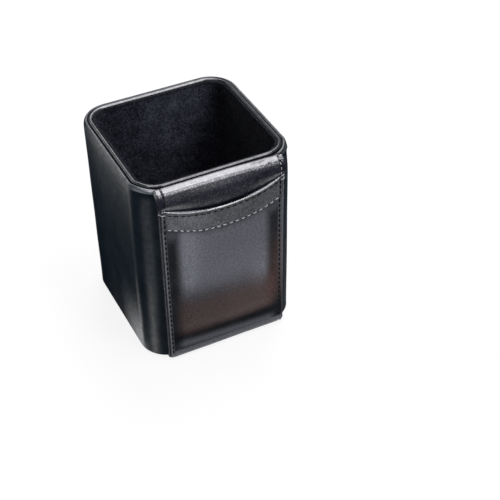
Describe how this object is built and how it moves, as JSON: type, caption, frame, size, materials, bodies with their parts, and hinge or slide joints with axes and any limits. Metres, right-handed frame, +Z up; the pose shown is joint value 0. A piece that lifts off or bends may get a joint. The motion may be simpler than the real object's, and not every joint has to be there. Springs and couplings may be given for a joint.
{
  "type": "pen holder",
  "caption": "Square leather pen holder with rounded corners, a felt-lined cup, a rolled rim and a padded front panel carrying a stitched slip pocket.",
  "frame": {"origin": "middle of the underside of the cup body, on the surface it stands on; the pocket stands out in front of the body and isn't counted in the middle", "axes": "+Z up towards the open rim, -Y out of the front, where the panel and pocket are, +X to the right of someone facing +Y"},
  "size_m": [0.08, 0.0848, 0.102],
  "materials": {
    "board": "matte grey board",
    "wrap_leather": "smooth black leather with a soft sheen and fine grain",
    "binding_leather": "smooth black leather, rounded and slightly polished at the crest",
    "felt": "short black felt with a faint blue cast",
    "base_felt": "dense black felt",
    "panel_leather": "smooth glossy black leather",
    "pocket_leather": "smooth black leather, slightly brown where light catches it",
    "band_leather": "black leather with fine grain",
    "foam": "soft foam sheet, hidden",
    "lining_cloth": "thin black cloth"
  },
  "bodies": {
    "root": {"core_tube": "board", "core_floor": "board", "outer_wrap": "wrap_leather", "rim_binding": "binding_leather", "lining_sleeve": "felt", "lining_floor": "felt", "base_cover": "base_felt", "front_panel": "panel_leather", "panel_card": "board", "panel_padding": "foam", "pocket_front": "pocket_leather", "pocket_padding": "foam", "pocket_lining": "lining_cloth", "pocket_band": "band_leather"}
  },
  "joints": []
}
